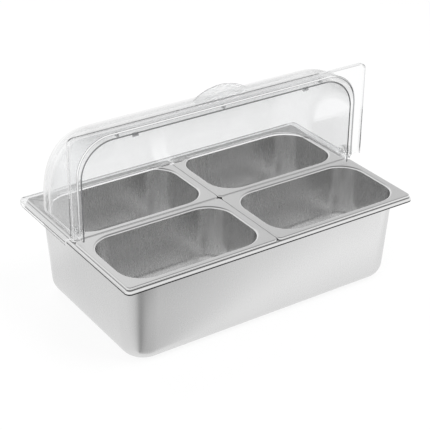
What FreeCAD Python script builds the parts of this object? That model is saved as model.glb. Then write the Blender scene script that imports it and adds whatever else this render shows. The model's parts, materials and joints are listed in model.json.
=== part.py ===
import FreeCAD, Part
import math
import os
import Sketcher

# Condiment server: a deep steel pan, four quarter pans hung in its rim, and a clear roll-top cover in two halves

doc = FreeCAD.newDocument("CondimentServer")
sheet = doc.addObject("Spreadsheet::Sheet", "Dims")

# Driving sizes in millimetres, angles in degrees
sizes = {
    # deep pan
    "panLength": 530,
    "panWidth": 325,
    "panDepth": 150,
    "panSheet": 1,
    "panMargin": 10,
    "panWallCorner": 48,
    "panFloorRound": 25,
    "panRimCorner": 9,
    "panRimDrop": 7,
    "panRimBend": 2.4,
    "panRollIn": 4,
    "panDraft": 3.8,
    # quarter pans
    "quarterGap": 1,
    "quarterSetIn": 0.1,
    "quarterDepth": 100,
    "quarterSheet": 0.9,
    "quarterEndClear": 3.5,
    "quarterSideClear": 1.25,
    "quarterCornerStep": 4,
    "quarterFloorRound": 20,
    "quarterRimCorner": 7,
    "quarterRimDrop": 4,
    "quarterRimBend": 1.8,
    "quarterRollIn": 3.5,
    "quarterDraft": 4.2,
    # both halves of the cover
    "coverWall": 2.5,
    "coverEndInset": 13,
    "coverBackInset": 22.5,
    "shellGap": 5.5,
    "shellEndGap": 4,
    "flangeCorner": 11,
    "flangeEdgeRound": 1.2,
    "rootRound": 1.5,
    "lipEndGap": 5.5,
    # rear half
    "rearCorner": 57,
    "rearLipGap": 1,
    "rearLipLap": 3,
    "flangeBreak": 4,
    "wallFootGap": 0.3,
    # front half
    "frontCornerStep": 1,
    "frontSetback": 3.5,
    "frontFlangeTail": 4,
    "frontLipDrop": 4,
    "seatGap": 0.2,
    "restGap": 0.3,
    # grip on the front half
    "gripHalf": 50,
    "gripFlare": 5,
    "gripEndRise": 1,
    "gripBow": 16,
    "gripHalfThick": 1.5,
    "gripSet": 2,
    "gripCornerRound": 5,
    "gripEdgeRound": 1,
    # glide ribs and stop tabs on the rear half
    "ribInset": 8,
    "ribHalf": 2,
    "ribLength": 7,
    "ribGap": 0.7,
    "tabInset": 38,
    "tabHalf": 5,
    "tabDrop": 4,
    "tabThick": 3,
    # pivots
    "pinRadius": 4,
    "pinHeadRadius": 10,
    "pinHeadThick": 2.4,
    "pinDishRadius": 5,
    "pinDishDepth": 0.8,
    "washerRadius": 9,
    "capRadius": 9,
    "capGap": 1.3,
    "capThick": 3.2,
    "capSkin": 0.8,
    "capEdgeRound": 1,
    "pinEndGap": 0.1,
    "runGap": 0.05,
    "faceGap": 0.2,
}

# Sizes that follow from the driving ones
derived = {
    # the quarter pans share out the deep pan's rim and hang clear of its walls
    "quarterInset": "panRimBend + quarterSetIn",
    "quarterLength": "( panLength - quarterGap ) / 2 - quarterInset",
    "quarterWidth": "( panWidth - quarterGap ) / 2 - quarterInset",
    "quarterEndMargin": "panMargin + panSheet + quarterEndClear - quarterInset",
    "quarterSideMargin": "panMargin + panSheet + quarterSideClear - quarterInset",
    "quarterWallCorner": "panWallCorner - panSheet - quarterCornerStep",
    # the hinge axis stands as high as the closed front half needs above the rims
    "frontFlangeSet": "capRadius + capGap",
    "axisRise": "quarterRimDrop + seatGap + frontLipDrop + coverWall + frontFlangeSet",
    # shells about the hinge axis, the front one over the rear one
    "rearHalf": "panLength / 2 - coverEndInset",
    "rearRadius": "panWidth / 2 - coverBackInset",
    "rearLap": "frontFlangeSet",
    "frontHalf": "rearHalf + shellEndGap + coverWall",
    "frontRadius": "rearRadius + shellGap + coverWall",
    "frontCorner": "rearCorner + frontCornerStep",
    # flanges and lips
    "flangeHalf": "panLength / 2 + lipEndGap + coverWall",
    "rearFlangeReach": "panWidth / 2 + rearLipGap + coverWall",
    "rearFlangeStart": "frontFlangeTail + flangeBreak",
    "rearLipDrop": "coverWall + quarterRimDrop + rearLipLap",
    "frontFlangeReach": "panWidth / 2 - frontSetback",
    "frontFoot": "axisRise - quarterRimDrop - coverWall - restGap",
    # grip, ribs and tabs
    "gripRootHalf": "gripHalf - gripFlare",
    "gripRoot": "frontRadius - coverWall",
    "gripEndReach": "frontFlangeReach + gripEndRise",
    "gripBowRadius": "( gripHalf * gripHalf + gripBow * gripBow ) / ( 2 * gripBow )",
    "ribSpacing": "rearHalf - rearCorner - ribInset",
    "tabSpacing": "rearHalf - rearCorner - tabInset",
    # pivots
    "capBoreDepth": "capThick - capSkin",
}

# An edge lies on a level if it is within this share of the wall's thickness
pickShare = 0.125

for row, (name, number) in enumerate(sizes.items(), start=1):
    sheet.set("A%d" % row, name)
    sheet.set("B%d" % row, str(number))
    sheet.setAlias("B%d" % row, name)
doc.recompute()


def spelled(text):
    # an expression with each of its names traced back to the sheet
    words = []
    for word in text.split(" "):
        if word in derived:
            words.append("( " + spelled(derived[word]) + " )")
        elif word in sizes:
            words.append("Dims." + word)
        else:
            words.append(word)
    return " ".join(words)


def bind(obj, prop, text):
    obj.setExpression(prop, spelled(text))


def value(text):
    return float(sheet.evalExpression(spelled(text)))


def newBody(label):
    body = doc.addObject("PartDesign::Body", label)
    body.Label = label
    return body


def originPlane(body, role):
    return next(f for f in body.Origin.OriginFeatures if f.Role == role)


def newSketch(body, role, offset="0"):
    sketch = body.newObject("Sketcher::SketchObject", body.Label + "_sketch")
    sketch.AttachmentSupport = [(originPlane(body, role), "")]
    sketch.MapMode = "FlatFace"
    if offset != "0":
        bind(sketch, "AttachmentOffset.Base.z", offset)
    return sketch


def dimension(sketch, constraint, name, text):
    index = sketch.addConstraint(constraint)
    sketch.renameConstraint(index, name)
    bind(sketch, "Constraints." + name, text)


def vec(x, y):
    return FreeCAD.Vector(x, y, 0)


def arc(cx, cy, radius, start, end):
    circle = Part.Circle(vec(cx, cy), FreeCAD.Vector(0, 0, 1), radius)
    return Part.ArcOfCircle(circle, math.radians(start), math.radians(end))


# rounded rectangle about the sketch origin
def roundedRectangle(sketch, tag, length, width, radius):
    halfL = value(length) / 2
    halfW = value(width) / 2
    r = value(radius)
    first = sketch.GeometryCount
    shapes = [
        Part.LineSegment(vec(r - halfL, -halfW), vec(halfL - r, -halfW)),
        arc(halfL - r, r - halfW, r, 270, 360),
        Part.LineSegment(vec(halfL, r - halfW), vec(halfL, halfW - r)),
        arc(halfL - r, halfW - r, r, 0, 90),
        Part.LineSegment(vec(halfL - r, halfW), vec(r - halfL, halfW)),
        arc(r - halfL, halfW - r, r, 90, 180),
        Part.LineSegment(vec(-halfL, halfW - r), vec(-halfL, r - halfW)),
        arc(r - halfL, r - halfW, r, 180, 270),
    ]
    sketch.addGeometry(shapes, False)
    g = [first + k for k in range(len(shapes))]
    joints = []
    for k in range(len(g)):
        joints.append(Sketcher.Constraint("Tangent", g[k], 2, g[(k + 1) % len(g)], 1))
    sketch.addConstraint(joints)
    sketch.addConstraint([
        Sketcher.Constraint("Horizontal", g[0]),
        Sketcher.Constraint("Vertical", g[2]),
        Sketcher.Constraint("Horizontal", g[4]),
        Sketcher.Constraint("Vertical", g[6]),
        Sketcher.Constraint("Equal", g[1], g[3]),
        Sketcher.Constraint("Equal", g[3], g[5]),
        Sketcher.Constraint("Equal", g[5], g[7]),
        Sketcher.Constraint("Symmetric", g[1], 3, g[5], 3, -1, 1),
    ])
    dimension(sketch, Sketcher.Constraint("DistanceX", g[6], 1, g[2], 1, 2 * halfL), tag + "Length", length)
    dimension(sketch, Sketcher.Constraint("DistanceY", g[0], 1, g[4], 2, 2 * halfW), tag + "Width", width)
    dimension(sketch, Sketcher.Constraint("Radius", g[1], r), tag + "Corner", radius)


# strip between two round-shouldered arches with a common foot level
def archStrip(sketch, outer, inner, foot):
    b = value(foot)
    shapes = []
    for half, top, radius in (outer, inner):
        a = value(half)
        t = value(top)
        r = value(radius)
        shapes += [
            Part.LineSegment(vec(-a, b), vec(-a, t - r)),
            arc(r - a, t - r, r, 90, 180),
            Part.LineSegment(vec(r - a, t), vec(a - r, t)),
            arc(a - r, t - r, r, 0, 90),
            Part.LineSegment(vec(a, t - r), vec(a, b)),
        ]
    ao = value(outer[0])
    ai = value(inner[0])
    shapes.append(Part.LineSegment(vec(-ao, b), vec(-ai, b)))
    shapes.append(Part.LineSegment(vec(ai, b), vec(ao, b)))
    sketch.addGeometry(shapes, False)
    for base, tag, (half, top, radius) in ((0, "outer", outer), (5, "inner", inner)):
        left, leftArc, crown, rightArc, right = range(base, base + 5)
        sketch.addConstraint([
            Sketcher.Constraint("Tangent", left, 2, leftArc, 2),
            Sketcher.Constraint("Tangent", leftArc, 1, crown, 1),
            Sketcher.Constraint("Tangent", crown, 2, rightArc, 2),
            Sketcher.Constraint("Tangent", rightArc, 1, right, 1),
            Sketcher.Constraint("Vertical", left),
            Sketcher.Constraint("Vertical", right),
            Sketcher.Constraint("Horizontal", crown),
            Sketcher.Constraint("Equal", leftArc, rightArc),
            Sketcher.Constraint("Symmetric", left, 1, right, 2, -2),
        ])
        dimension(sketch, Sketcher.Constraint("DistanceX", -1, 1, right, 2, value(half)), tag + "Half", half)
        dimension(sketch, Sketcher.Constraint("DistanceY", -1, 1, crown, 2, value(top)), tag + "Top", top)
        dimension(sketch, Sketcher.Constraint("Radius", rightArc, value(radius)), tag + "Shoulder", radius)
    sketch.addConstraint([
        Sketcher.Constraint("Coincident", 10, 1, 0, 1),
        Sketcher.Constraint("Coincident", 10, 2, 5, 1),
        Sketcher.Constraint("Coincident", 11, 1, 9, 2),
        Sketcher.Constraint("Coincident", 11, 2, 4, 2),
        Sketcher.Constraint("Horizontal", 11),
    ])
    if foot == "0":
        sketch.addConstraint(Sketcher.Constraint("PointOnObject", 4, 2, -1))
    else:
        dimension(sketch, Sketcher.Constraint("DistanceY", -1, 1, 4, 2, b), "foot", foot)


# circle about the sketch origin
def roundHole(sketch, tag, radius):
    index = sketch.addGeometry(Part.Circle(vec(0, 0), FreeCAD.Vector(0, 0, 1), value(radius)), False)
    sketch.addConstraint(Sketcher.Constraint("Coincident", index, 3, -1, 1))
    dimension(sketch, Sketcher.Constraint("Radius", index, value(radius)), tag + "Radius", radius)


# upright rectangle placed by its left edge, lower edge, width and height
def box(sketch, tag, left, low, width, height):
    x = value(left)
    y = value(low)
    w = value(width)
    h = value(height)
    first = sketch.GeometryCount
    corners = [vec(x, y), vec(x + w, y), vec(x + w, y + h), vec(x, y + h)]
    for k in range(4):
        sketch.addGeometry(Part.LineSegment(corners[k], corners[(k + 1) % 4]), False)
    g = [first + k for k in range(4)]
    for k in range(4):
        sketch.addConstraint(Sketcher.Constraint("Coincident", g[k], 2, g[(k + 1) % 4], 1))
    sketch.addConstraint([
        Sketcher.Constraint("Horizontal", g[0]),
        Sketcher.Constraint("Vertical", g[1]),
        Sketcher.Constraint("Horizontal", g[2]),
        Sketcher.Constraint("Vertical", g[3]),
    ])
    dimension(sketch, Sketcher.Constraint("DistanceX", -1, 1, g[0], 1, x), tag + "Left", left)
    dimension(sketch, Sketcher.Constraint("DistanceY", -1, 1, g[0], 1, y), tag + "Low", low)
    dimension(sketch, Sketcher.Constraint("DistanceX", g[0], 1, g[0], 2, w), tag + "Width", width)
    dimension(sketch, Sketcher.Constraint("DistanceY", g[1], 1, g[1], 2, h), tag + "Height", height)


def pad(body, sketch, length, back=False, draft=None):
    feature = body.newObject("PartDesign::Pad", body.Label + "_pad")
    feature.Profile = sketch
    bind(feature, "Length", length)
    feature.Reversed = back
    if draft:
        bind(feature, "TaperAngle", "0 - " + draft)
    doc.recompute()
    return feature


def pocket(body, sketch, length, back=False, draft=None):
    feature = body.newObject("PartDesign::Pocket", body.Label + "_pocket")
    feature.Profile = sketch
    bind(feature, "Length", length)
    feature.Reversed = back
    if draft:
        bind(feature, "TaperAngle", "0 - " + draft)
    doc.recompute()
    return feature


def fillet(body, base, test, radius):
    names = []
    for k, edge in enumerate(base.Shape.Edges, start=1):
        if test(edge):
            names.append("Edge%d" % k)
    feature = body.newObject("PartDesign::Fillet", body.Label + "_fillet")
    feature.Base = (base, names)
    bind(feature, "Radius", radius)
    doc.recompute()
    return feature


def mirror(body, feature, role):
    copy = body.newObject("PartDesign::Mirrored", body.Label + "_mirror")
    copy.Originals = [feature]
    copy.MirrorPlane = (originPlane(body, role), [""])
    body.Tip = copy
    doc.recompute()
    return copy


def nearLevel(edge, level, slack):
    box = edge.BoundBox
    return abs(box.ZMin - level) < slack and abs(box.ZMax - level) < slack


# pressed pan with a drawn wall, a flat rim and a rim edge turned down
def pressedPan(label, tag, length, width, endMargin, sideMargin):
    body = newBody(label)
    depth = tag + "Depth"
    metal = tag + "Sheet"
    corner = tag + "WallCorner"
    floorRound = tag + "FloorRound"
    rollIn = tag + "RollIn"
    draft = tag + "Draft"
    slack = value(metal) * pickShare

    wallLength = length + " - " + endMargin + " - " + endMargin
    wallWidth = width + " - " + sideMargin + " - " + sideMargin
    outline = newSketch(body, "XY_Plane", depth)
    roundedRectangle(outline, "wall", wallLength, wallWidth, corner)
    pad(body, outline, depth, True, draft)

    rim = newSketch(body, "XY_Plane", depth)
    roundedRectangle(rim, "rim", length, width, tag + "RimCorner")
    plate = pad(body, rim, metal, True)
    under = value(depth) - value(metal)
    reach = value(wallLength) / 2
    neck = fillet(
        body, plate,
        lambda e: nearLevel(e, under, slack) and e.BoundBox.XMax < reach and e.BoundBox.XMin > -reach,
        rollIn + " - " + metal)

    drop = newSketch(body, "XY_Plane", depth)
    roundedRectangle(drop, "edge", length, width, tag + "RimCorner")
    roundedRectangle(drop, "edgeInside", length + " - " + metal + " - " + metal,
                     width + " - " + metal + " - " + metal, tag + "RimCorner - " + metal)
    edge = pad(body, drop, tag + "RimDrop", True)

    inside = newSketch(body, "XY_Plane", depth)
    roundedRectangle(inside, "inside", wallLength + " - " + metal + " - " + metal,
                     wallWidth + " - " + metal + " - " + metal, corner + " - " + metal)
    hollow = pocket(body, inside, depth + " - " + metal, False, draft)
    bowl = fillet(body, hollow, lambda e: nearLevel(e, value(metal), slack), floorRound + " - " + metal)
    base = fillet(body, bowl, lambda e: nearLevel(e, 0, slack), floorRound)
    halfL = value(length) / 2 - slack
    halfW = value(width) / 2 - slack

    def onOutline(edge):
        span = edge.BoundBox
        return span.XMax > halfL or span.XMin < -halfL or span.YMax > halfW or span.YMin < -halfW

    rolled = fillet(
        body, base,
        lambda e: nearLevel(e, value(depth), slack) and not onOutline(e), rollIn)
    fillet(
        body, rolled,
        lambda e: nearLevel(e, value(depth), slack) and onOutline(e), tag + "RimBend")
    return body


pieces = []
pieces.append(pressedPan("deep_pan", "pan", "panLength", "panWidth", "panMargin", "panMargin"))

# four quarter pans side by side, their turned edges standing on the deep pan's rim
for label, sideX, sideY in (
    ("quarter_pan_front_left", -1, -1),
    ("quarter_pan_front_right", 1, -1),
    ("quarter_pan_rear_left", -1, 1),
    ("quarter_pan_rear_right", 1, 1),
):
    quarter = pressedPan(label, "quarter", "quarterLength", "quarterWidth", "quarterEndMargin", "quarterSideMargin")
    bind(quarter, "Placement.Base.x", "%d * ( quarterLength + quarterGap ) / 2" % sideX)
    bind(quarter, "Placement.Base.y", "%d * ( quarterWidth + quarterGap ) / 2" % sideY)
    bind(quarter, "Placement.Base.z", "panDepth + quarterRimDrop - quarterDepth")
    pieces.append(quarter)


# quarter turn of an arch strip about the hinge axis, towards the back
def turnBack(body, sketch):
    feature = body.newObject("PartDesign::Revolution", body.Label + "_turn")
    feature.Profile = sketch
    feature.ReferenceAxis = (sketch, ["H_Axis"])
    feature.Angle = 90
    doc.recompute()
    if feature.Shape.BoundBox.YMax < value("coverWall"):
        feature.Reversed = True
        doc.recompute()
    return feature


def pivotHole(body):
    sketch = newSketch(body, "YZ_Plane", "0 - flangeHalf")
    roundHole(sketch, "pivot", "pinRadius + runGap")
    return pocket(body, sketch, "flangeHalf + flangeHalf", True)


# clear rear half, standing on the quarter pans with a lip outside the deep pan's rim
rearCover = newBody("rear_cover")
bind(rearCover, "Placement.Base.z", "panDepth + axisRise")
rearOuter = ("rearHalf", "rearRadius", "rearCorner")
rearInner = ("rearHalf - coverWall", "rearRadius - coverWall", "rearCorner - coverWall")
rearEdge = ("flangeHalf", "rearFlangeReach", "flangeCorner")
rearEdgeInner = ("flangeHalf - coverWall", "rearFlangeReach - coverWall", "flangeCorner - coverWall")

mouth = newSketch(rearCover, "XZ_Plane")
archStrip(mouth, rearOuter, rearInner, "0")
turnBack(rearCover, mouth)
lap = newSketch(rearCover, "XZ_Plane")
archStrip(lap, rearOuter, rearInner, "0")
pad(rearCover, lap, "rearLap")
skirt = newSketch(rearCover, "XY_Plane")
archStrip(skirt, rearOuter, rearInner, "0 - rearLap")
pad(rearCover, skirt, "axisRise - quarterRimDrop - wallFootGap", True)
flange = newSketch(rearCover, "XY_Plane", "quarterRimDrop - axisRise")
archStrip(flange, rearEdge, rearInner, "rearFlangeStart")
pad(rearCover, flange, "coverWall")
lip = newSketch(rearCover, "XY_Plane", "quarterRimDrop + coverWall - axisRise")
archStrip(lip, rearEdge, rearEdgeInner, "rearFlangeStart")
pad(rearCover, lip, "rearLipDrop", True)

# glide ribs on the crown keep the two halves apart
ribs = newSketch(rearCover, "XZ_Plane", "rearLap - ribLength")
ribFoot = "rearRadius - coverWall"
ribHeight = "frontRadius - ribGap - rearRadius"
box(ribs, "left", "0 - ribSpacing - ribHalf", ribFoot, "ribHalf + ribHalf", ribHeight)
box(ribs, "middle", "0 - ribHalf", ribFoot, "ribHalf + ribHalf", ribHeight)
box(ribs, "right", "ribSpacing - ribHalf", ribFoot, "ribHalf + ribHalf", ribHeight)
pad(rearCover, ribs, "ribLength")

# two small tabs hang inside the mouth
tabs = newSketch(rearCover, "XZ_Plane", "rearLap - tabThick")
tabFoot = "rearRadius - coverWall - tabDrop"
box(tabs, "left", "0 - tabSpacing - tabHalf", tabFoot, "tabHalf + tabHalf", "tabDrop + coverWall")
box(tabs, "right", "tabSpacing - tabHalf", tabFoot, "tabHalf + tabHalf", "tabDrop + coverWall")
pad(rearCover, tabs, "tabThick")
rearHole = pivotHole(rearCover)
rearTop = value("quarterRimDrop + coverWall - axisRise")
slack = value("coverWall") * pickShare


def onRearOutline(edge):
    span = edge.BoundBox
    side = value("flangeHalf") - slack
    return span.XMax > side or span.XMin < -side or span.YMax > value("rearFlangeReach") - slack


def onRearRoot(edge):
    span = edge.BoundBox
    side = value("rearHalf") + slack
    return span.XMax < side and span.XMin > -side and span.YMax < value("rearRadius") + slack


rearRounded = fillet(
    rearCover, rearHole,
    lambda e: nearLevel(e, rearTop, slack) and onRearOutline(e) and e.Length > value("flangeCorner"),
    "flangeEdgeRound")
fillet(
    rearCover, rearRounded,
    lambda e: nearLevel(e, rearTop, slack) and onRearRoot(e), "rootRound")
pieces.append(rearCover)

# clear front half, rolled back over the rear half
frontCover = newBody("front_cover")
bind(frontCover, "Placement.Base.z", "panDepth + axisRise")
frontOuter = ("frontHalf", "frontRadius", "frontCorner")
frontInner = ("frontHalf - coverWall", "frontRadius - coverWall", "frontCorner - coverWall")
frontEdge = ("flangeHalf", "frontFlangeReach", "flangeCorner")
frontEdgeInner = ("flangeHalf - coverWall", "frontFlangeReach - coverWall", "flangeCorner - coverWall")

mouth = newSketch(frontCover, "XZ_Plane")
archStrip(mouth, frontOuter, frontInner, "0")
turnBack(frontCover, mouth)
neck = newSketch(frontCover, "XZ_Plane")
archStrip(neck, frontOuter, frontInner, "0")
pad(frontCover, neck, "frontFlangeSet + coverWall")
skirt = newSketch(frontCover, "XY_Plane")
archStrip(skirt, frontOuter, frontInner, "0")
pad(frontCover, skirt, "frontFoot", True)
ear = newSketch(frontCover, "YZ_Plane", "frontHalf - coverWall")
roundHole(ear, "ear", "frontFoot")
mirror(frontCover, pad(frontCover, ear, "coverWall"), "YZ_Plane")
flange = newSketch(frontCover, "XZ_Plane", "frontFlangeSet")
archStrip(flange, frontEdge, frontInner, "0 - frontFlangeTail")
pad(frontCover, flange, "coverWall")
lip = newSketch(frontCover, "XZ_Plane", "frontFlangeSet")
archStrip(lip, frontEdge, frontEdgeInner, "0 - frontFlangeTail")
pad(frontCover, lip, "coverWall + frontLipDrop")


# bow-fronted grip on the crown of the front half
def gripOutline(sketch):
    half = value("gripHalf")
    root = value("gripRootHalf")
    foot = value("gripRoot")
    end = value("gripEndReach")
    radius = value("gripBowRadius")
    spread = math.degrees(math.asin(half / radius))
    sketch.addGeometry([
        Part.LineSegment(vec(-root, foot), vec(root, foot)),
        Part.LineSegment(vec(root, foot), vec(half, end)),
        arc(0, end + value("gripBow") - radius, radius, 90 - spread, 90 + spread),
        Part.LineSegment(vec(-half, end), vec(-root, foot)),
    ], False)
    sketch.addConstraint([
        Sketcher.Constraint("Coincident", 0, 2, 1, 1),
        Sketcher.Constraint("Coincident", 1, 2, 2, 1),
        Sketcher.Constraint("Coincident", 2, 2, 3, 1),
        Sketcher.Constraint("Coincident", 3, 2, 0, 1),
        Sketcher.Constraint("Symmetric", 0, 1, 0, 2, -2),
        Sketcher.Constraint("Symmetric", 3, 1, 1, 2, -2),
    ])
    dimension(sketch, Sketcher.Constraint("DistanceX", -1, 1, 0, 2, root), "rootHalf", "gripRootHalf")
    dimension(sketch, Sketcher.Constraint("DistanceY", -1, 1, 0, 2, foot), "foot", "gripRoot")
    dimension(sketch, Sketcher.Constraint("DistanceX", -1, 1, 1, 2, half), "half", "gripHalf")
    dimension(sketch, Sketcher.Constraint("DistanceY", -1, 1, 1, 2, end), "end", "gripEndReach")
    dimension(sketch, Sketcher.Constraint("Radius", 2, radius), "bow", "gripBowRadius")


grip = newSketch(frontCover, "XZ_Plane", "0 - gripSet - gripHalfThick")
gripOutline(grip)
pad(frontCover, grip, "gripHalfThick + gripHalfThick")
frontHole = pivotHole(frontCover)
gripFace = value("gripSet - gripHalfThick")
gripBack = value("gripSet + gripHalfThick")


def onGripCorner(edge):
    span = edge.BoundBox
    return (span.YMin > gripFace - slack and span.YMax < gripBack + slack and span.YLength > slack
            and span.ZMin > value("gripEndReach") - slack)


gripped = fillet(frontCover, frontHole, onGripCorner, "gripCornerRound")


def onGripEdge(edge):
    span = edge.BoundBox
    return (span.YMin > gripFace - slack and span.YMax < gripBack + slack and span.YLength < slack
            and span.ZMax > value("frontFlangeReach") and span.ZMin > value("frontRadius") - slack)


softened = fillet(frontCover, gripped, onGripEdge, "gripEdgeRound")


def onFrontFlange(edge):
    span = edge.BoundBox
    face = 0 - value("frontFlangeSet")
    return abs(span.YMin - face) < slack and abs(span.YMax - face) < slack


def onFrontRoot(edge):
    span = edge.BoundBox
    side = value("frontHalf") + slack
    outside = span.XMax > side or span.XMin < -side or span.ZMax > value("frontRadius") + slack
    return onFrontFlange(edge) and not outside and edge.Length > value("flangeCorner")


def onFrontOutline(edge):
    span = edge.BoundBox
    side = value("flangeHalf") - slack
    outside = span.XMax > side or span.XMin < -side or span.ZMax > value("frontFlangeReach") - slack
    return onFrontFlange(edge) and outside and edge.Length > value("flangeCorner")


frontRounded = fillet(frontCover, softened, onFrontOutline, "flangeEdgeRound")
fillet(frontCover, frontRounded, onFrontRoot, "rootRound")
pieces.append(frontCover)


# small turned piece about its own X axis, set on the hinge axis of one side
def turnedPiece(label, side, offset):
    body = newBody(label)
    turn = 0 if side > 0 else 180
    body.Placement = FreeCAD.Placement(FreeCAD.Vector(0, 0, 0), FreeCAD.Rotation(FreeCAD.Vector(0, 0, 1), turn))
    if side > 0:
        bind(body, "Placement.Base.x", offset)
    else:
        bind(body, "Placement.Base.x", "0 - ( " + offset + " )")
    bind(body, "Placement.Base.z", "panDepth + axisRise")
    return body


def disc(body, offset, radius, length, back=False):
    sketch = newSketch(body, "YZ_Plane", offset)
    roundHole(sketch, "disc", radius)
    return pad(body, sketch, length, back)


for name, side in (("left", -1), ("right", 1)):
    # pivot pin with a dished head inside the rear half
    pin = turnedPiece("hinge_pin_" + name, side, "rearHalf - coverWall")
    disc(pin, "0", "pinHeadRadius", "pinHeadThick", True)
    disc(pin, "0", "pinRadius", "frontHalf - rearHalf + coverWall + faceGap + capBoreDepth - pinEndGap")
    dish = newSketch(pin, "YZ_Plane", "0 - pinHeadThick")
    roundHole(dish, "dish", "pinDishRadius")
    pocket(pin, dish, "pinDishDepth", True)
    pieces.append(pin)

    # washer between the two end walls
    washer = turnedPiece("hinge_washer_" + name, side, "rearHalf")
    ring = newSketch(washer, "YZ_Plane")
    roundHole(ring, "rim", "washerRadius")
    roundHole(ring, "bore", "pinRadius + runGap")
    pad(washer, ring, "frontHalf - coverWall - rearHalf - faceGap")
    pieces.append(washer)

    # button cap outside the front half
    cap = turnedPiece("hinge_cap_" + name, side, "frontHalf + faceGap")
    disc(cap, "0", "capRadius", "capThick")
    bore = newSketch(cap, "YZ_Plane")
    roundHole(bore, "bore", "pinRadius + runGap")
    bored = pocket(cap, bore, "capBoreDepth", True)
    fillet(cap, bored, lambda e: e.BoundBox.XMin > value("capThick") - slack, "capEdgeRound")
    pieces.append(cap)

doc.recompute()
for obj in doc.Objects:
    if "Invalid" in obj.State or "Error" in obj.State:
        raise RuntimeError("not built: " + obj.Label)
os.makedirs("parts", exist_ok=True)
for piece in pieces:
    solid = piece.Shape
    if solid.isNull() or not solid.isValid():
        raise RuntimeError("not sound: " + piece.Label)
    solid.exportStep("parts/%s.step" % piece.Label)
    print(piece.Label, len(solid.Solids), round(solid.Volume))
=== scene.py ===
import json
import math

import bmesh
import bpy
from mathutils import Matrix, Vector

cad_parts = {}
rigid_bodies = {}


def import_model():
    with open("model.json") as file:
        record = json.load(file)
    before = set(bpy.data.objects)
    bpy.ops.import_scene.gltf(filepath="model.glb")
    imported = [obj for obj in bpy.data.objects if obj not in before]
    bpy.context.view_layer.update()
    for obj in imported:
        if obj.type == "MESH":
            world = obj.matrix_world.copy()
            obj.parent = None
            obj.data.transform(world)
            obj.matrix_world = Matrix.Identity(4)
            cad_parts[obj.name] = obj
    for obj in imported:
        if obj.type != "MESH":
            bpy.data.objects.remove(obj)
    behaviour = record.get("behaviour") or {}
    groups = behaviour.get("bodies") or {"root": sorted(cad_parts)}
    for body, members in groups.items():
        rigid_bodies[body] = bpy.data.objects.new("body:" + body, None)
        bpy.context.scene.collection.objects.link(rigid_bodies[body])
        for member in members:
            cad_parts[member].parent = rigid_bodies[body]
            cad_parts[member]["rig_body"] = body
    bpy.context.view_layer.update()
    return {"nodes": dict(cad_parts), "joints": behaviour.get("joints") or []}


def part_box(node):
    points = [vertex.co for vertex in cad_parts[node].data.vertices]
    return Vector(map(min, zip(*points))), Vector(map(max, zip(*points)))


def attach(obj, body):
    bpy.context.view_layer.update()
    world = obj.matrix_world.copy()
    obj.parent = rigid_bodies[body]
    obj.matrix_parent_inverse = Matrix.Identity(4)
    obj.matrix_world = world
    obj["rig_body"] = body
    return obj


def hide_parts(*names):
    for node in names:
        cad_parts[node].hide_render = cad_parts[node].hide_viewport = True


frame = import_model()
nodes = frame["nodes"]
print("frame loaded with", len(nodes), "nodes")


# a socket of a node tree that can stand in a sum, where each sign adds its Math node
class Wire:
    def __init__(self, tree, socket=None):
        self.tree = tree
        self.socket = socket

    # any node: its settings first, then the values or links of its sockets
    def node(self, kind, settings, values, output=0):
        made = self.tree.nodes.new(kind)
        for name, value in settings.items():
            if name == "stops":
                setStops(made.color_ramp, value)
            else:
                setattr(made, name, value)
        for name, value in values.items():
            if isinstance(value, Wire):
                self.tree.links.new(value.socket, made.inputs[name])
            else:
                made.inputs[name].default_value = value
        return Wire(self.tree, made.outputs[output] if made.outputs else None)

    # another output of the same node
    def other(self, output):
        return Wire(self.tree, self.socket.node.outputs[output])

    def maths(self, operation, first, second=0.0):
        return self.node("ShaderNodeMath", {"operation": operation}, {0: first, 1: second})

    def __add__(self, value):
        return self.maths("ADD", self, value)

    def __radd__(self, value):
        return self.maths("ADD", value, self)

    def __sub__(self, value):
        return self.maths("SUBTRACT", self, value)

    def __rsub__(self, value):
        return self.maths("SUBTRACT", value, self)

    def __mul__(self, value):
        return self.maths("MULTIPLY", self, value)

    def __rmul__(self, value):
        return self.maths("MULTIPLY", value, self)


def setStops(ramp, stops):
    while len(ramp.elements) < len(stops):
        ramp.elements.new(1.0)
    for element, (place, colour) in zip(ramp.elements, stops):
        element.position = place
        element.color = colour


def newMaterial(name):
    material = bpy.data.materials.new(name)
    material.use_nodes = True
    material.node_tree.nodes.clear()
    return material, Wire(material.node_tree)


# 0 below the first value and 1 above the second, with a soft step between
def softStep(value, low, high):
    settings = {"interpolation_type": "SMOOTHSTEP"}
    return value.node("ShaderNodeMapRange", settings, {"Value": value, "From Min": low, "From Max": high})


def grey(tone):
    return (tone, tone, tone, 1.0)


def mixTones(wire, factor, first, second):
    return wire.node("ShaderNodeMix", {"data_type": "RGBA"}, {0: factor, 6: first, 7: second}, 2)


def speckle(wire, place, scale, detail, stretch=(1.0, 1.0, 1.0)):
    drawn = wire.node("ShaderNodeVectorMath", {"operation": "MULTIPLY"}, {0: place, 1: stretch})
    return wire.node("ShaderNodeTexNoise", {}, {"Vector": drawn, "Scale": scale, "Detail": detail})


# quads between rows of points, row after row, each marked with its finish
def patch(rows, finish=0, closed=False):
    faces = []
    for first, second in zip(rows, rows[1:]):
        for k in range(len(first) if closed else len(first) - 1):
            n = (k + 1) % len(first)
            faces.append(([first[k], first[n], second[n], second[k]], finish))
    return faces


# points of an arc about a centre, turned from one angle to another in degrees
def bow(centre, radius, start, end, steps):
    turns = [math.radians(start + (end - start) * k / steps) for k in range(steps + 1)]
    return [(centre[0] + radius * math.cos(t), centre[1] + radius * math.sin(t)) for t in turns]


meshing = {
    "weld": 0.000002,          # points closer than this are one
    "roundSegments": 2,
    "roundAngle": 40,          # edges sharper than this are rounded
}


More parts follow.
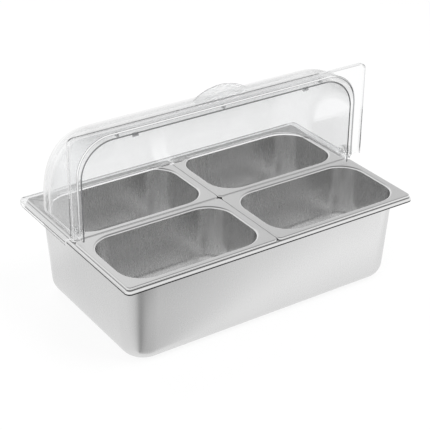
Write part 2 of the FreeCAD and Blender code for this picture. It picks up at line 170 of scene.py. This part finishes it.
# one object from marked faces, welded where they meet, in the place of a CAD node
def makePiece(name, faces, finishes, node, edgeRound=0.0):
    work = bmesh.new()
    for corners, finish in faces:
        face = work.faces.new([work.verts.new(corner) for corner in corners])
        face.material_index = finish
        face.smooth = True
    bmesh.ops.remove_doubles(work, verts=work.verts, dist=meshing["weld"])
    bmesh.ops.recalc_face_normals(work, faces=work.faces)
    loose = [edge for edge in work.edges if len(edge.link_faces) != 2]
    print(name, len(work.verts), "points,", len(loose), "open edges")
    mesh = bpy.data.meshes.new(name)
    work.to_mesh(mesh)
    work.free()
    for finish in finishes:
        mesh.materials.append(finish)
    piece = bpy.data.objects.new(name, mesh)
    bpy.context.scene.collection.objects.link(piece)
    if edgeRound:
        bevel = piece.modifiers.new("edgeRound", "BEVEL")
        bevel.width = edgeRound
        bevel.segments = meshing["roundSegments"]
        bevel.limit_method = "ANGLE"
        bevel.angle_limit = math.radians(meshing["roundAngle"])
    piece.modifiers.new("flatShading", "WEIGHTED_NORMAL")
    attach(piece, nodes[node]["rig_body"])
    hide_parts(node)
    return piece


# satin stainless sheet, polished along the rim
panSteel = {
    "tone": (0.83, 0.83, 0.828, 1.0),
    "shadeTone": (0.79, 0.79, 0.792, 1.0),
    # painted shade: near-black tones of the raw edge and of the band above it on the turned-down edge
    "edgeTone": (0.012, 0.012, 0.0125, 1.0),
    "edgeShine": (0.05, 0.05, 0.052, 1.0),
    "edgeScale": 700.0,
    "edgeDetail": 2.0,
    "edgeRoughness": 0.5,
    "roughness": 0.27,
    "rimRoughness": 0.2,
    "rimDepth": 0.006,         # how far below the rim the polish reaches
    "mottleScale": 11.0,
    "mottleDetail": 3.0,
    "mottleRoughness": 0.05,
    "drawScale": 900.0,        # drawing lines, which run down the walls
    "drawDetail": 2.0,
    "drawStretch": (1.0, 1.0, 0.012),
    "drawStrength": 0.25,
    "drawHeight": 0.00001,
    "waveScale": 9.0,          # slow waves of the pressed sheet
    "waveDetail": 1.0,
    "waveStrength": 0.2,
    "waveHeight": 0.0002,
}


def satinSteel(name, rimLevel, look):
    material, wire = newMaterial(name)
    place = wire.node("ShaderNodeTexCoord", {}, {}, "Object")
    height = wire.node("ShaderNodeSeparateXYZ", {}, {0: place}, "Z")
    rim = softStep(height, rimLevel - look["rimDepth"], rimLevel - look["rimDepth"] / 2)
    mottle = speckle(wire, place, look["mottleScale"], look["mottleDetail"])
    lines = speckle(wire, place, look["drawScale"], look["drawDetail"], look["drawStretch"])
    waves = speckle(wire, place, look["waveScale"], look["waveDetail"])
    tone = mixTones(wire, mottle, look["tone"], look["shadeTone"])
    uneven = (mottle - 0.5) * look["mottleRoughness"]
    satin = look["roughness"] + uneven + (lines - 0.5) * look["mottleRoughness"]
    gloss = look["rimRoughness"] + uneven
    roughness = satin * (1 - rim) + gloss * rim
    wavy = wire.node("ShaderNodeBump", {}, {
        "Height": waves * (1 - rim), "Strength": look["waveStrength"], "Distance": look["waveHeight"]})
    lined = wire.node("ShaderNodeBump", {}, {
        "Height": lines * (1 - rim), "Strength": look["drawStrength"], "Distance": look["drawHeight"],
        "Normal": wavy})
    shader = wire.node("ShaderNodeBsdfPrincipled", {}, {
        "Base Color": tone, "Metallic": 1.0, "Roughness": roughness, "Normal": lined})
    wire.node("ShaderNodeOutputMaterial", {}, {"Surface": shader})
    return material


# raw edge of the sheet, and a painted shade band up the outer face of the turned-down edge, standing in for
# the shadow and dark reflection under the rim
def shearedEdge(name, look):
    material, wire = newMaterial(name)
    place = wire.node("ShaderNodeTexCoord", {}, {}, "Object")
    grain = speckle(wire, place, look["edgeScale"], look["edgeDetail"])
    tone = mixTones(wire, grain, look["edgeTone"], look["edgeShine"])
    shader = wire.node("ShaderNodeBsdfPrincipled", {}, {
        "Base Color": tone, "Metallic": 1.0, "Roughness": look["edgeRoughness"]})
    wire.node("ShaderNodeOutputMaterial", {}, {"Surface": shader})
    return material


# clear polycarbonate: tone, and the share that lets light straight through, for the sheet and for the painted
# lines on its edges
clearPlastic = {
    "roughness": 0.012,
    "hazeRoughness": 0.012,    # faint smears from wiping
    "hazeScale": 7.0,
    "hazeDetail": 4.0,
    "hazeStretch": (0.5, 1.0, 2.0),
    "ior": 1.55,
    "through": grey(0.985),
    "sheet": ((0.985, 0.988, 0.99, 1.0), 0.0),
    # painted shade: near-black tint on the mouth edge for the dark line that refraction shows along it
    "mouthEdge": ((0.012, 0.013, 0.014, 1.0), 0.15),
    # painted reflection: grey tint on edges, bores, lip and grip for the faint lines that reflection and
    # refraction show
    "faintEdge": ((0.80, 0.81, 0.82, 1.0), 0.55),
    # painted shade: dark tint on the small blocks and on the front half's run-out under its flange
    "smallBlock": ((0.10, 0.105, 0.11, 1.0), 0.3),
    "pivot": ((0.985, 0.988, 0.99, 1.0), 0.88),
}


def clearSheet(name, part, look):
    material, wire = newMaterial(name)
    tone, clear = look[part]
    place = wire.node("ShaderNodeTexCoord", {}, {}, "Object")
    haze = speckle(wire, place, look["hazeScale"], look["hazeDetail"], look["hazeStretch"])
    roughness = look["roughness"] + haze * look["hazeRoughness"]
    glass = wire.node("ShaderNodeBsdfPrincipled", {}, {
        "Base Color": tone, "Roughness": roughness, "IOR": look["ior"], "Transmission Weight": 1.0})
    through = wire.node("ShaderNodeBsdfTransparent", {}, {"Color": look["through"]})
    shader = wire.node("ShaderNodeMixShader", {}, {0: clear, 1: glass, 2: through})
    # these rays go straight through, so that no light is lost
    for rays in ("Is Reflection Ray", "Is Shadow Ray"):
        passing = wire.node("ShaderNodeLightPath", {}, {}, rays)
        shader = wire.node("ShaderNodeMixShader", {}, {0: passing, 1: shader, 2: through})
    wire.node("ShaderNodeOutputMaterial", {}, {"Surface": shader})
    return material


def dress(node, material):
    mesh = nodes[node].data
    mesh.materials.clear()
    mesh.materials.append(material)


# pressed pans: a drawn wall, a rounded floor, a flat rim and an edge turned down
# the second finish is the raw edge together with the painted shade band above it
satinFinish, lipEdgeAndShade = range(2)
deepPan = {
    "sheet": 0.001,
    "endMargin": 0.010,        # from the rim's edge to the top of the wall
    "sideMargin": 0.010,
    "wallCorner": 0.048,
    "floorRound": 0.025,
    "rimCorner": 0.009,
    "rimDrop": 0.007,
    "rimBend": 0.0024,
    "hem": 0.0022,             # painted shade band at the foot of the turned-down sheet, for the shadow and dark reflection under the rim
    "burrShare": 0.25,         # of the sheet, broken off its raw edge
    "flare": 0.0008,           # by which the turned-down edge stands out at its foot
    "rollIn": 0.004,           # where the rim rolls into the wall
    "draft": 3.8,
    "cornerSteps": 16,
    "bendSteps": 8,
}
quarterPan = {
    "sheet": 0.0009,
    "endMargin": 0.012,
    "sideMargin": 0.00975,
    "wallCorner": 0.043,
    "floorRound": 0.020,
    "rimCorner": 0.007,
    "rimDrop": 0.004,
    "rimBend": 0.0018,
    "hem": 0.0007,
    "burrShare": 0.25,
    "flare": 0.0003,
    "rollIn": 0.0035,
    "draft": 4.2,
    "cornerSteps": 14,
    "bendSteps": 7,
}


# rounded rectangle at one level
def panRing(middle, halfX, halfY, radius, level, steps):
    ring = []
    for sideX, sideY, start in ((1, 1, 0), (-1, 1, 90), (-1, -1, 180), (1, -1, 270)):
        corner = (middle.x + sideX * (halfX - radius), middle.y + sideY * (halfY - radius))
        ring += [(x, y, level) for x, y in bow(corner, radius, start, start + 90, steps)]
    return ring


def pressedPan(node, look):
    low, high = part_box(node)
    middle = (low + high) / 2
    halfX = (high.x - low.x) / 2
    halfY = (high.y - low.y) / 2
    top = high.z
    sheet = look["sheet"]
    lean = math.radians(look["draft"])

    def wallRing(inset, level):
        return panRing(middle, halfX - look["endMargin"] - inset, halfY - look["sideMargin"] - inset,
                       look["wallCorner"] - inset, level, look["cornerSteps"])

    def rimRing(inset, level):
        return panRing(middle, halfX - inset, halfY - inset,
                       look["rimCorner"] - inset, level, look["cornerSteps"])

    # round between a level and the leaning wall of one skin: side 1 over the rim, -1 into the floor
    def wallRound(skin, level, radius, side):
        rise = level - side * radius
        touch = rise + side * radius * math.sin(lean)
        inset = skin + (top - touch) * math.tan(lean) - side * radius * math.cos(lean)
        start, end = (180 - look["draft"], 90) if side > 0 else (-90, -look["draft"])
        return [wallRing(-x, z) for x, z in bow((-inset, rise), radius, start, end, look["bendSteps"])]

    def rimRound(reach, level, radius):
        return [rimRing(-x, z) for x, z in bow((-reach, level - radius), radius, 90, 0, look["bendSteps"])]

    bend = look["rimBend"]
    flare = look["flare"]
    foot = top - look["rimDrop"]
    burr = sheet * look["burrShare"]
    inside = wallRound(sheet, low.z + sheet, look["floorRound"] - sheet, -1)
    outside = wallRound(0, low.z, look["floorRound"], -1)
    skin = inside + wallRound(sheet, top, look["rollIn"], 1) + rimRound(bend + flare, top, bend)
    # the painted shade band reaches this far up the outer face of the turned-down edge
    hem = foot + look["hem"]
    skin += [rimRing(0, hem)]
    edge = [rimRing(0, hem), rimRing(0, foot + burr), rimRing(burr, foot)]
    edge += [rimRing(sheet - burr, foot), rimRing(sheet, foot + burr)]
    under = [rimRing(sheet, foot + burr)] + rimRound(bend + flare, top - sheet, bend - sheet)[::-1]
    under += wallRound(0, top - sheet, look["rollIn"] - sheet, 1)[::-1] + outside[::-1]
    faces = patch(skin, satinFinish, True) + patch(edge, lipEdgeAndShade, True) + patch(under, satinFinish, True)
    return faces + [(inside[0], satinFinish), (outside[0], satinFinish)]


# halves of the roll-top cover, each a quarter-round shell with round shoulders about the hinge axis
# the cover's finishes: the clear sheet, and tints painted on its edges and blocks for the dark and grey lines
# that refraction and reflection show
coverParts = ("sheet", "mouthEdge", "faintEdge", "smallBlock")
sheetFinish, paintedMouthShade, paintedFaintGrey, paintedBlockShade = range(len(coverParts))
rearHalf = {
    "half": 0.252,
    "radius": 0.140,
    "shoulder": 0.057,
    "wall": 0.0025,
    "freeReach": 0.0103,       # from the hinge axis to the free edge
    "flangeFace": 0.0145,      # from the hinge axis to the flange
    "flangeHalf": 0.273,
    "flangeReach": 0.166,
    "flangeStart": 0.008,
    "flangeCorner": 0.011,
    "flangeRound": 0.0012,
    "rootRound": 0.0015,
    "rootFinish": paintedFaintGrey,
    "lipDepth": 0.0095,
    "roundEar": False,
    "freeFinish": paintedMouthShade,     # its free edge carries the painted dark line
    "underRound": 0.0022,      # where the inner skin runs out under the flange
    "underFinish": sheetFinish,
    "bore": 0.00405,
    "edgeRound": 0.0003,
    "wallShares": (0.0, 0.06, 0.3, 0.65, 1.0),     # rows of an end wall, from its bore to its outline
    "turnSteps": 40,
    "shoulderSteps": 18,
    "crownSteps": 12,
    "legSteps": 8,
    "roundSteps": 5,
    "earSteps": 8,
    "frontSteps": 4,
}
# the front half: its free edge takes the painted grey, and the run-out under its flange the painted dark
# shade
frontHalf = dict(rearHalf, half=0.2585, radius=0.148, shoulder=0.058, freeReach=0.0142, flangeFace=0.0103,
                 flangeReach=0.159, flangeStart=-0.004, lipDepth=0.0065, roundEar=True,
                 freeFinish=paintedFaintGrey, rootFinish=sheetFinish, underRound=0.0016, underFinish=paintedBlockShade)
hingeHeight = next(j["pos_m"][2] for j in frame["joints"] if j["name"] == "front_cover_roll")


# arch from one side to the other, set in by a depth, with straight legs down to a start level if one is given
def archLine(look, half, radius, corner, setIn, start=None):
    sideX = half - corner
    rise = radius - corner
    left = bow((-sideX, rise), corner - setIn, 180, 90, look["shoulderSteps"])
    crown = [(sideX * (2 * k / look["crownSteps"] - 1), radius - setIn) for k in range(1, look["crownSteps"])]
    line = left + crown
    line += [(-x, u) for x, u in left[::-1]]
    if start is not None:
        leg = [(half - setIn, start + (rise - start) * k / look["legSteps"]) for k in range(look["legSteps"])]
        line = [(-x, u) for x, u in leg] + line + leg[::-1]
    return line


# place(x, u, v) sets a point by its reach u along the flange and its height v above, from the hinge axis
def coverShell(look, place):
    half, radius, shoulder, wall = look["half"], look["radius"], look["shoulder"], look["wall"]
    rise = radius - shoulder
    face, free, start = look["flangeFace"], look["freeReach"], look["flangeStart"]
    under = face + wall
    ease = look["underRound"]
    rootLevel = face - look["rootRound"]

    # the ways of a point of the arch from the free edge over the turn and down to a foot level
    def carried(r, foot):
        way = [(-free, r), (-free / 2, r)]
        way += bow((0.0, 0.0), r, 90, 0, look["turnSteps"])
        return way + [(r, -foot / 2), (r, -foot)]

    def skin(setIn, foot):
        return [[place(x, u, v) for u, v in carried(r, foot)]
                for x, r in archLine(look, half, radius, shoulder, setIn)]

    # the free part of an end wall's outline, from the flange's end round to the free edge
    if look["roundEar"]:
        first = math.degrees(math.atan2(-under, start))
        reach = math.hypot(under, start)
        ear = []
        for k in range(look["earSteps"] + 1):
            share = k / look["earSteps"]
            turn = math.radians(first + (-180 - first) * share)
            r = reach + (free - reach) * share
            ear.append((r * math.cos(turn), r * math.sin(turn)))
    else:
        ear = [(start, -under), ((start - free) / 2, -under)]
        ear += [(-free, -under * k / 2) for k in (2, 1, 0)]
    front = [(-free, rise * k / look["frontSteps"]) for k in range(1, look["frontSteps"])]
    freeLine = ear + front + [(-free, rise)]

    def wallLoop(foot):
        legSteps = look["legSteps"]
        leg = [(rise + (start - rise) * k / legSteps, -foot) for k in range(1, legSteps + 1)]
        return carried(rise, foot) + leg + ear + front

    # the sheet's free edge, across its thickness, in the free edge's tint: painted dark on the rear half,
    # painted grey on the front
    depths = (0.0, wall - ease, wall)
    faces = patch([[place(x, -free, r) for x, r in archLine(look, half, radius, shoulder, depth)]
                   for depth in depths], look["freeFinish"])
    faces += patch(skin(0.0, rootLevel)) + patch(skin(wall, under - ease))
    outerLoop = wallLoop(rootLevel)
    innerLoop = wallLoop(under - ease)
    turns = [math.atan2(v, u) for u, v in outerLoop]
    hole = [(look["bore"] * math.cos(t), look["bore"] * math.sin(t)) for t in turns]
    for side in (-1, 1):
        rings = []
        for loop, setIn in ((outerLoop, 0.0), (innerLoop, wall)):
            rows = []
            for share in look["wallShares"]:
                rows.append([place(side * (half - setIn), a + (c - a) * share, b + (d - b) * share)
                             for (a, b), (c, d) in zip(hole, loop)])
            faces += patch(rows, sheetFinish, True)
            rings.append(rows[0])
        faces += patch(rings, paintedFaintGrey, True)
        faces += patch([[place(side * (half - depth), u, v) for u, v in freeLine] for depth in depths],
                       look["freeFinish"])

    # flange, from the round at the shell's root over the outer edge and lip to the round under the inner skin
    def footLine(spread, level):
        return [place(x, u, -level) for x, u in archLine(look, half, radius, shoulder, -spread, start)]

    def edgeLine(inset, level):
        return [place(x, u, -level) for x, u in
                archLine(look, look["flangeHalf"], look["flangeReach"], look["flangeCorner"], inset, start)]

    root = look["rootRound"]
    edge = look["flangeRound"]
    tip = face + look["lipDepth"]
    top = [footLine(w, v) for w, v in bow((root, face - root), root, 180, 90, look["roundSteps"])]
    turn = [edgeLine(edge - w, v) for w, v in bow((0.0, face + edge), edge, -90, 0, look["roundSteps"])]
    lip = turn + [edgeLine(0.0, tip), edgeLine(wall, tip), edgeLine(wall, under)]
    below = footLine(0.0, under)
    runOut = [footLine(w, v) for w, v in bow((ease - wall, under - ease), ease, 90, 180, look["roundSteps"])]
    faces += patch(top, look["rootFinish"]) + patch(runOut, look["underFinish"])
    faces += patch(top[-1:] + lip[:-2]) + patch(lip[-3:-1], paintedFaintGrey)
    faces += patch(lip[-2:] + [below, runOut[0]])
    rows = top + lip + [below]
    for end, side in ((0, -1), (-1, 1)):
        corner = place(side * (half - wall), start, -under)
        faces.append(([row[end] for row in rows], paintedFaintGrey))
        faces.append(([row[end] for row in runOut] + [corner], paintedFaintGrey))
    return faces


# small blocks on the rear half: ribs that the front half glides on, and tabs inside the mouth
rearBlocks = {
    "ribPlaces": (-0.187, 0.0, 0.187),
    "ribHalf": 0.002,
    "ribLength": 0.007,
    "ribTop": 0.1448,
    "tabPlaces": (-0.157, 0.157),
    "tabHalf": 0.005,
    "tabThick": 0.003,
    "tabDrop": 0.004,
    "seat": 0.00002,           # hair's breadth to the shell
}


# a box in the painted dark shade of the small blocks
def block(low, high):
    (a, b, c), (d, e, f) = low, high
    ring = [(a, b), (d, b), (d, e), (a, e)]
    rows = [[(x, y, c) for x, y in ring], [(x, y, f) for x, y in ring]]
    return patch(rows, paintedBlockShade, True) + [(rows[0], paintedBlockShade), (rows[1], paintedBlockShade)]


def rearDetails(look, shell):
    mouth = -shell["freeReach"]
    faces = []
    for x in look["ribPlaces"]:
        faces += block((x - look["ribHalf"], mouth, hingeHeight + shell["radius"] + look["seat"]),
                       (x + look["ribHalf"], mouth + look["ribLength"], hingeHeight + look["ribTop"]))
    ceiling = hingeHeight + shell["radius"] - shell["wall"] - look["seat"]
    for x in look["tabPlaces"]:
        faces += block((x - look["tabHalf"], mouth, ceiling - look["tabDrop"]),
                       (x + look["tabHalf"], mouth + look["tabThick"], ceiling))
    return faces


# bow-fronted grip on the crown of the front half
gripPlate = {
    "half": 0.050,
    "rootHalf": 0.045,
    "end": 0.160,              # heights above the hinge axis
    "top": 0.176,
    "corner": 0.006,
    "front": 0.0005,
    "back": 0.0035,
    "edgeRound": 0.001,
    "bowSteps": 28,
    "cornerSteps": 6,
    "edgeSteps": 4,
}


def gripFaces(look, shell):
    rise = look["top"] - look["end"]
    radius = (look["half"] ** 2 + rise ** 2) / (2 * rise)
    spread = math.degrees(math.asin(look["half"] / radius))
    cut = math.degrees(look["corner"] / radius)
    top = bow((0.0, look["top"] - radius), radius, 90 - spread + cut, 90 + spread - cut, look["bowSteps"])
    root = Vector((look["rootHalf"], shell["radius"]))
    tip = Vector((look["half"], look["end"]))
    below = tip + (root - tip).normalized() * look["corner"]
    after = Vector(top[0])
    corner = []
    for k in range(look["cornerSteps"]):
        t = k / look["cornerSteps"]
        corner.append(tuple(below * (1 - t) ** 2 + tip * 2 * t * (1 - t) + after * t * t))
    outline = [tuple(root)] + corner + top + [(-x, z) for x, z in corner[::-1]] + [(-root.x, root.y)]

    # the outline drawn in by a depth, level by level through the thickness
    def level(inset, y):
        row = []
        for k, here in enumerate(outline):
            before = Vector(outline[max(k - 1, 0)])
            after = Vector(outline[min(k + 1, len(outline) - 1)])
            way = (after - before).normalized()
            lift = way.x * inset if 0 < k < len(outline) - 1 else 0.0
            row.append((here[0] - way.y * inset, y, hingeHeight + here[1] + lift))
        return row

    edge = look["edgeRound"]
    rows = [level(edge - x, y) for x, y in bow((0.0, look["front"] + edge), edge, -90, 0, look["edgeSteps"])]
    rows += [level(edge - x, y) for x, y in bow((0.0, look["back"] - edge), edge, 0, 90, look["edgeSteps"])]
    return patch(rows, paintedFaintGrey, True) + [(rows[0], paintedFaintGrey), (rows[-1], paintedFaintGrey)]


# material of the raw edge and of the painted shade band under the rim
edgeShadeMaterial = shearedEdge("shearedEdge", panSteel)
makePiece("deepPan", pressedPan("deep_pan", deepPan),
          [satinSteel("deepPanSteel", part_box("deep_pan")[1].z, panSteel), edgeShadeMaterial], "deep_pan")
quarterNames = [name for name in nodes if name.startswith("quarter_pan")]
quarterSteel = satinSteel("quarterPanSteel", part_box(quarterNames[0])[1].z, panSteel)
for name in quarterNames:
    label = "".join(word.capitalize() for word in name.split("_")[2:])
    makePiece("quarterPan" + label, pressedPan(name, quarterPan), [quarterSteel, edgeShadeMaterial],
              name)
print("pans made")

coverFinishes = [clearSheet("cover" + part[0].upper() + part[1:], part, clearPlastic)
                 for part in coverParts]
rearFaces = coverShell(rearHalf, lambda x, u, v: (x, u, hingeHeight + v)) + rearDetails(rearBlocks, rearHalf)
rearCover = makePiece("rearCover", rearFaces, coverFinishes, "rear_cover",
                      rearHalf["edgeRound"])
frontFaces = coverShell(frontHalf, lambda x, u, v: (x, v, hingeHeight + u)) + gripFaces(gripPlate, frontHalf)
frontCover = makePiece("frontCover", frontFaces, coverFinishes, "front_cover",
                       frontHalf["edgeRound"])
# mirrored rays would meet too many clear layers in the two halves, and end there
for piece in (rearCover, frontCover):
    piece.visible_glossy = False
    piece.visible_diffuse = False
    piece.visible_shadow = False
pivotClear = clearSheet("pivotClear", "pivot", clearPlastic)
for name in nodes:
    if name.startswith("hinge"):
        dress(name, pivotClear)
print("cover made")


# plain studio: white floor and horizon, a darker ceiling for the steel to mirror, and soft lamps
studio = {
    "floorHalf": 12.0,
    "floorTone": grey(0.9),
    "floorGlow": 0.86,         # share of the floor's white that a shadow leaves
    "floorFade": (0.7, 2.5),   # beyond this the floor is plain white
    "ambient": 0.5,
    "ceiling": [               # by height of the direction, 1 straight up
        (0.0, grey(1.0)),
        (0.3, grey(0.96)),
        (0.55, grey(0.80)),
        (0.74, grey(0.50)),
        (0.9, grey(0.22)),
    ],
    "duskSide": (0.38, 0.54),  # the steel's flats mirror a dimmer sky to this side, above this height
    "duskHeight": (0.2, 0.4),
    "dusk": 0.24,
    # painted reflections: tones of the floor that are seen in the steel alone, and only near the pan
    "mirrorFade": (0.6, 1.2),
    "corners": [((-0.24, -0.14, 0.0), 1, 1.0), ((0.24, 0.14, 0.0), -1, 0.7)],  # place, side, strength
    "sector": [                # round such a corner, by angle
        (0.0, grey(1.0)),
        (0.284, grey(1.0)),
        (0.294, grey(0.91)),
        (0.311, grey(0.78)),
        (0.353, grey(0.67)),
        (0.406, grey(0.61)),
        (0.47, grey(0.58)),
        (0.545, grey(0.49)),
        (0.588, grey(0.34)),
        (0.613, grey(0.36)),
        (0.66, grey(0.70)),
        (0.72, grey(0.90)),
        (0.8, grey(1.0)),
    ],
    # dark spots painted on the floor, seen only in the steel as a painted reflection
    "smudges": [
        # place, reach of the darkest part and of the whole, depth
        ((-0.24, -0.44, 0.0), 0.03, 0.20, 0.40),
        ((-0.06, -0.44, 0.0), 0.03, 0.18, 0.35),
        ((-0.52, 0.17, 0.0), 0.08, 0.22, 0.18),
    ],
    "leftSide": (0.23, 0.30),
    "leftDepth": 0.11,
    "footHalf": 0.145,         # half the depth of the strip of floor darkened near the pan as a painted shadow, seen in the steel
    "footReach": 0.1,
    "footDepth": 0.14,
    "aim": (0.0, 0.0, 0.12),
    "lamps": [
        # name, power, size, place
        ("keyLamp", 60.0, 2.2, (1.3, -1.2, 2.2)),
        ("fillLamp", 42.0, 2.2, (-2.0, -0.8, 2.0)),
        ("backLamp", 42.0, 2.2, (0.2, 2.0, 2.2)),
    ],
}


def makeSurroundings():
    world = bpy.data.worlds.new("studioSurroundings")
    world.use_nodes = True
    world.node_tree.nodes.clear()
    wire = Wire(world.node_tree)
    way = wire.node("ShaderNodeTexCoord", {}, {}, "Generated")
    along = wire.node("ShaderNodeSeparateXYZ", {}, {0: way})
    height = along.other("Z")
    tone = wire.node("ShaderNodeValToRGB", {"stops": studio["ceiling"]}, {0: height})
    aside = softStep(along, *studio["duskSide"]) * softStep(height, *studio["duskHeight"])
    tone = mixTones(wire, aside * studio["dusk"], tone, grey(0.0))
    dim = wire.node("ShaderNodeBackground", {}, {"Color": tone, "Strength": studio["ambient"]})
    full = wire.node("ShaderNodeBackground", {}, {"Color": tone, "Strength": 1.0})
    rays = wire.node("ShaderNodeLightPath", {}, {}, "Is Diffuse Ray")
    sky = wire.node("ShaderNodeMixShader", {}, {0: rays, 1: full, 2: dim})
    wire.node("ShaderNodeOutputWorld", {}, {"Surface": sky})
    bpy.context.scene.world = world


def makeFloor():
    half = studio["floorHalf"]
    mesh = bpy.data.meshes.new("floor")
    corners = [(-half, -half, 0.0), (half, -half, 0.0), (half, half, 0.0), (-half, half, 0.0)]
    mesh.from_pydata(corners, [], [(0, 1, 2, 3)])
    floor = bpy.data.objects.new("floor", mesh)
    bpy.context.scene.collection.objects.link(floor)
    material, wire = newMaterial("floorPaper")
    place = wire.node("ShaderNodeTexCoord", {}, {}, "Object")
    outward = wire.node("ShaderNodeVectorMath", {"operation": "LENGTH"}, {0: place}, "Value")
    shade = grey(1.0)
    # painted reflection: darker sectors round two corners, mirrored in the steel as a dark band
    for corner, side, strength in studio["corners"]:
        away = wire.node("ShaderNodeVectorMath", {"operation": "SUBTRACT"}, {0: place, 1: corner})
        along = wire.node("ShaderNodeSeparateXYZ", {}, {0: away})
        angle = wire.maths("ARCTAN2", along * -side, along.other("Y") * -side)
        turned = angle * (0.5 / math.pi) + 0.5
        sector = wire.node("ShaderNodeValToRGB", {"stops": studio["sector"]}, {0: turned})
        shade = wire.node("ShaderNodeMix", {"data_type": "RGBA", "blend_type": "MULTIPLY"},
                          {0: strength, 6: shade, 7: sector}, 2)
    # painted reflection: dark spots that the steel mirrors
    for spot, inner, outer, depth in studio["smudges"]:
        reach = wire.node("ShaderNodeVectorMath", {"operation": "DISTANCE"}, {0: place, 1: spot}, "Value")
        shade = mixTones(wire, (1 - softStep(reach, inner, outer)) * depth, shade, grey(0.0))
    # painted reflection: the floor to the left is darker in the steel
    along = wire.node("ShaderNodeSeparateXYZ", {}, {0: place})
    left = softStep(along * -1, *studio["leftSide"])
    shade = mixTones(wire, left * studio["leftDepth"], shade, grey(0.0))
    # painted shadow: the floor along the pan's long sides is darker in the steel's reflection
    beside = wire.maths("ABSOLUTE", along.other("Y")) - studio["footHalf"]
    foot = 1 - softStep(beside, 0.0, studio["footReach"])
    shade = mixTones(wire, foot * studio["footDepth"], shade, grey(0.0))
    rays = wire.node("ShaderNodeLightPath", {}, {}, "Is Glossy Ray")
    gloss = wire.maths("MAXIMUM", rays - rays.other("Is Transmission Ray"), 0.0)
    near = 1 - softStep(outward, *studio["mirrorFade"])
    mirrored = mixTones(wire, gloss * near, grey(1.0), shade)
    seen = wire.maths("MAXIMUM", rays.other("Is Camera Ray"), rays.other("Is Transmission Ray"))
    far = softStep(outward, *studio["floorFade"])
    white = studio["floorGlow"] + far * (1 - studio["floorGlow"])
    share = wire.maths("MAXIMUM", seen * white, gloss)
    paper = wire.node("ShaderNodeBsdfDiffuse", {}, {"Color": studio["floorTone"]})
    glow = wire.node("ShaderNodeEmission", {}, {"Color": mirrored, "Strength": 1.0})
    lit = wire.node("ShaderNodeMixShader", {}, {0: share, 1: paper, 2: glow})
    wire.node("ShaderNodeOutputMaterial", {}, {"Surface": lit})
    mesh.materials.append(material)


def makeLamps():
    for name, power, size, place in studio["lamps"]:
        lamp = bpy.data.lights.new(name, "AREA")
        lamp.energy = power
        lamp.size = size
        holder = bpy.data.objects.new(name, lamp)
        holder.location = place
        holder.rotation_euler = (Vector(studio["aim"]) - Vector(place)).to_track_quat("-Z", "Y").to_euler()
        holder.visible_glossy = False
        holder.visible_transmission = False
        bpy.context.scene.collection.objects.link(holder)


# camera at the photograph's place, worked out about the centre of the deep pan's rim
viewpoint = {
    "azimuth": -34.04,
    "elevation": 28.71,
    "roll": 0.56,
    "distance": 2.0521,
    "right": -0.00732,
    "up": -0.02518,
    "lens": 107.77,
    "sensor": 36.0,
    "nearest": 0.05,
}


def makeCamera():
    azimuth = math.radians(viewpoint["azimuth"])
    elevation = math.radians(viewpoint["elevation"])
    roll = math.radians(viewpoint["roll"])
    back = Vector((math.sin(azimuth) * math.cos(elevation), -math.cos(azimuth) * math.cos(elevation),
                   math.sin(elevation)))
    level = Vector((math.cos(azimuth), math.sin(azimuth), 0.0))
    upright = back.cross(level)
    right = level * math.cos(roll) + upright * math.sin(roll)
    up = upright * math.cos(roll) - level * math.sin(roll)
    lens = bpy.data.cameras.new("photoCamera")
    lens.lens = viewpoint["lens"]
    lens.sensor_width = viewpoint["sensor"]
    lens.clip_start = viewpoint["nearest"]
    camera = bpy.data.objects.new("photoCamera", lens)
    turn = Matrix((right, up, back)).transposed().to_4x4()
    place = Vector((0.0, 0.0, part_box("deep_pan")[1].z)) + back * viewpoint["distance"]
    place += right * viewpoint["right"] + up * viewpoint["up"]
    camera.matrix_world = Matrix.Translation(place) @ turn
    bpy.context.scene.collection.objects.link(camera)
    bpy.context.scene.camera = camera


makeSurroundings()
makeFloor()
makeLamps()
makeCamera()
bpy.context.scene.view_settings.view_transform = "Standard"
print("studio ready")
